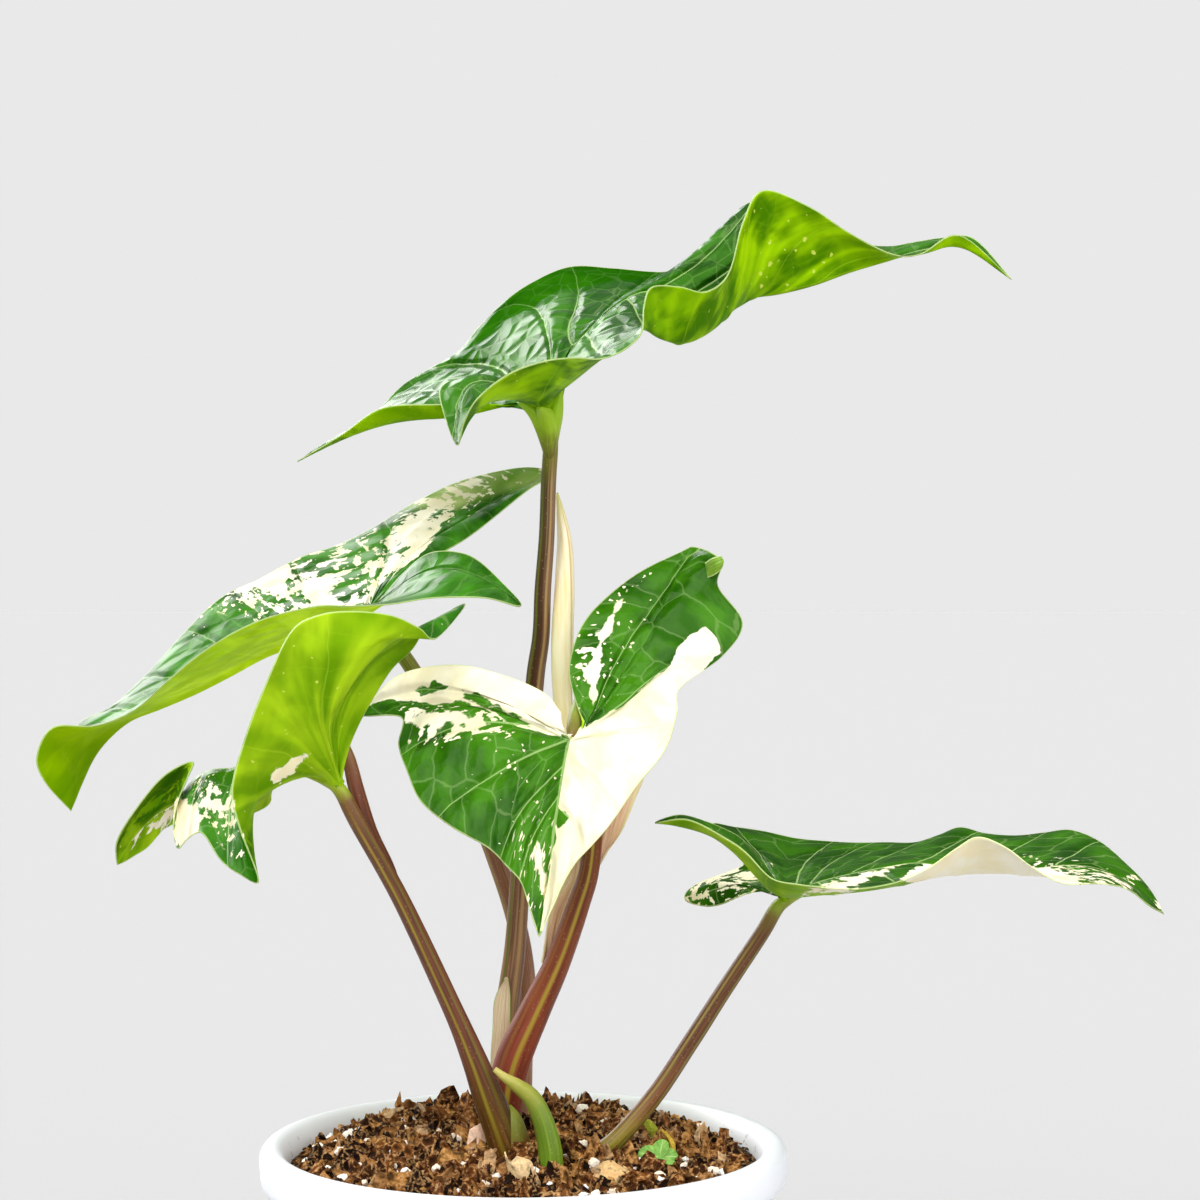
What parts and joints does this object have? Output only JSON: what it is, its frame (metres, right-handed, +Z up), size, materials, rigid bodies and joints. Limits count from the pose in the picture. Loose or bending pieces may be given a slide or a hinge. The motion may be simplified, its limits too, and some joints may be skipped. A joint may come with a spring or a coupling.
{
  "type": "potted plant",
  "caption": "Potted syngonium with variegated arrow shaped leaves on slender red brown stalks, standing in bark mix in a round white nursery pot.",
  "frame": {"origin": "centre of the pot's flat underside", "axes": "+Z up along the pot's axis; -Y towards the side that the leaves face; +X to the right as seen from that side"},
  "size_m": [0.2804, 0.13, 0.3562],
  "materials": {
    "pot_plastic": "smooth, moulded, softly glossy",
    "bark_mix": "rough damp bark chips",
    "leaf_tissue": "waxy gloss, quilted between the veins",
    "stalk_tissue": "smooth, satin",
    "sheath_tissue": "thin, papery, satin",
    "young_leaf_tissue": "smooth, satin",
    "shoot_tissue": "smooth, satin",
    "weed_tissue": "soft, matt"
  },
  "bodies": {
    "root": {"pot": "pot_plastic", "soil": "bark_mix", "top_leaf_blade": "leaf_tissue", "top_leaf_petiole": "stalk_tissue", "top_leaf_sheath": "sheath_tissue", "left_leaf_blade": "leaf_tissue", "left_leaf_petiole": "stalk_tissue", "front_leaf_blade": "leaf_tissue", "front_leaf_petiole": "stalk_tissue", "front_leaf_sheath": "stalk_tissue", "centre_leaf_blade": "leaf_tissue", "centre_leaf_petiole": "stalk_tissue", "centre_leaf_sheath": "sheath_tissue", "right_leaf_blade": "leaf_tissue", "right_leaf_petiole": "stalk_tissue", "new_leaf": "young_leaf_tissue", "green_shoot": "shoot_tissue", "seedling": "weed_tissue"}
  },
  "joints": []
}
